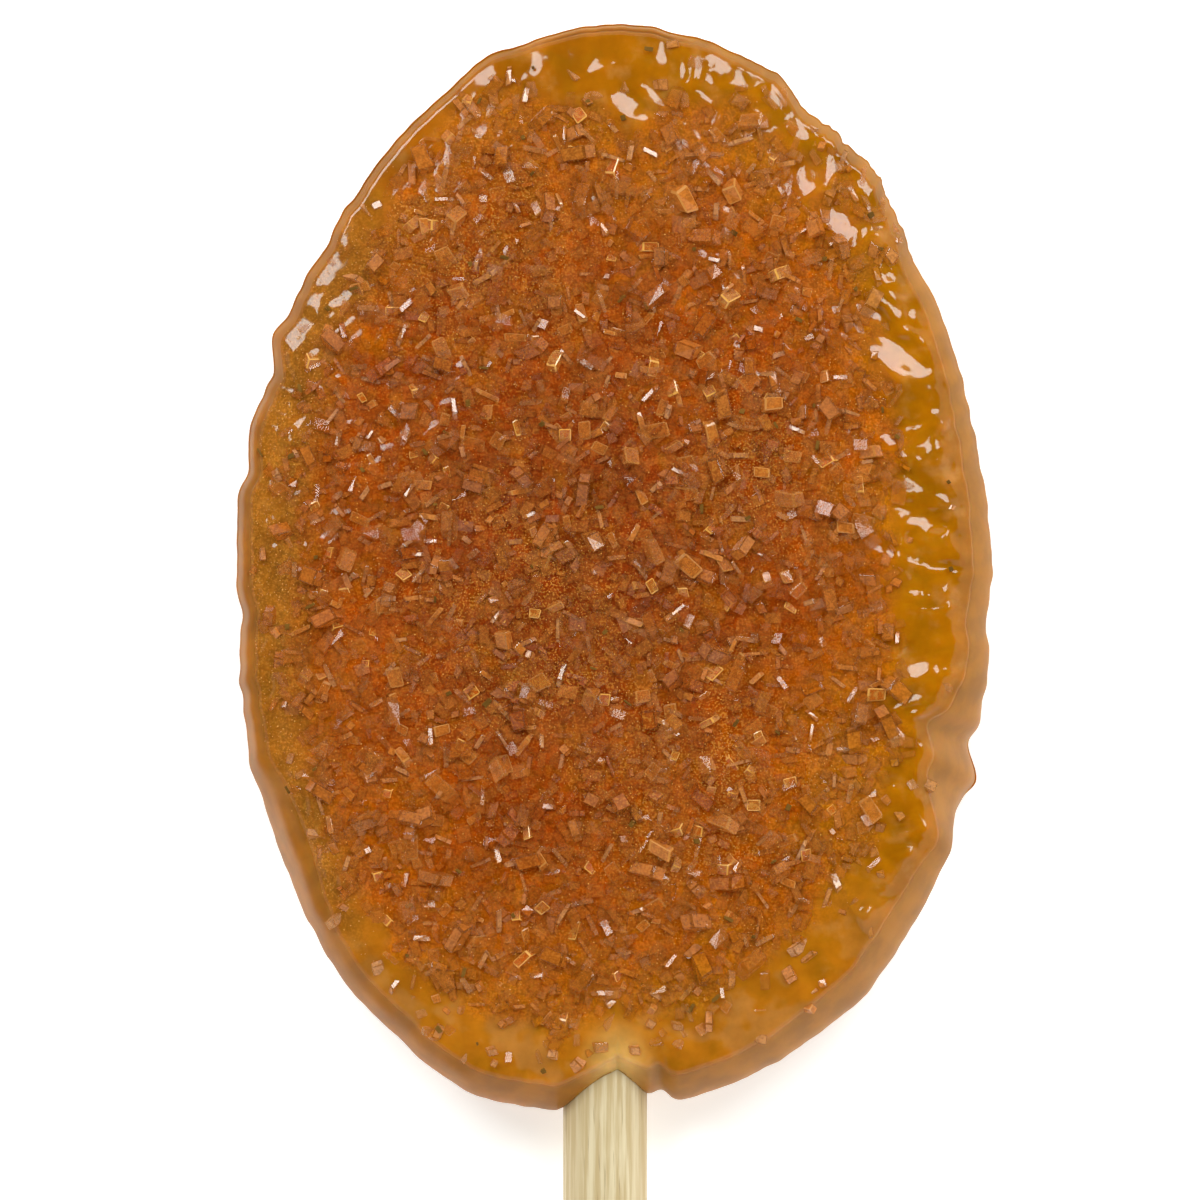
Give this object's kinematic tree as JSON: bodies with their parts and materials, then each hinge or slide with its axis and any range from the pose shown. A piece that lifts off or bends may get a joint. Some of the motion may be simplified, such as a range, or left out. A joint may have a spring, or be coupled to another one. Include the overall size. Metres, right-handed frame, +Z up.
{
  "type": "hard candy drink stirrer",
  "caption": "Oval amber hard candy crusted with coarse sugar crystals, set on a round wooden stick, for stirring into a hot drink.",
  "frame": {"origin": "middle of the candy's oval, on the flat back that it lies on", "axes": "+X across the candy, +Y along it away from the stick, +Z up through the crusted face"},
  "size_m": [0.0374, 0.1485, 0.0085],
  "materials": {
    "amber_candy": "glossy, translucent",
    "sugar_crystal": "clear facets tinted by the candy",
    "herb_fleck": "dry, matte",
    "birch": "bare, fine grain"
  },
  "bodies": {
    "root": {"candy": "amber_candy", "stick": "birch"}
  },
  "joints": []
}
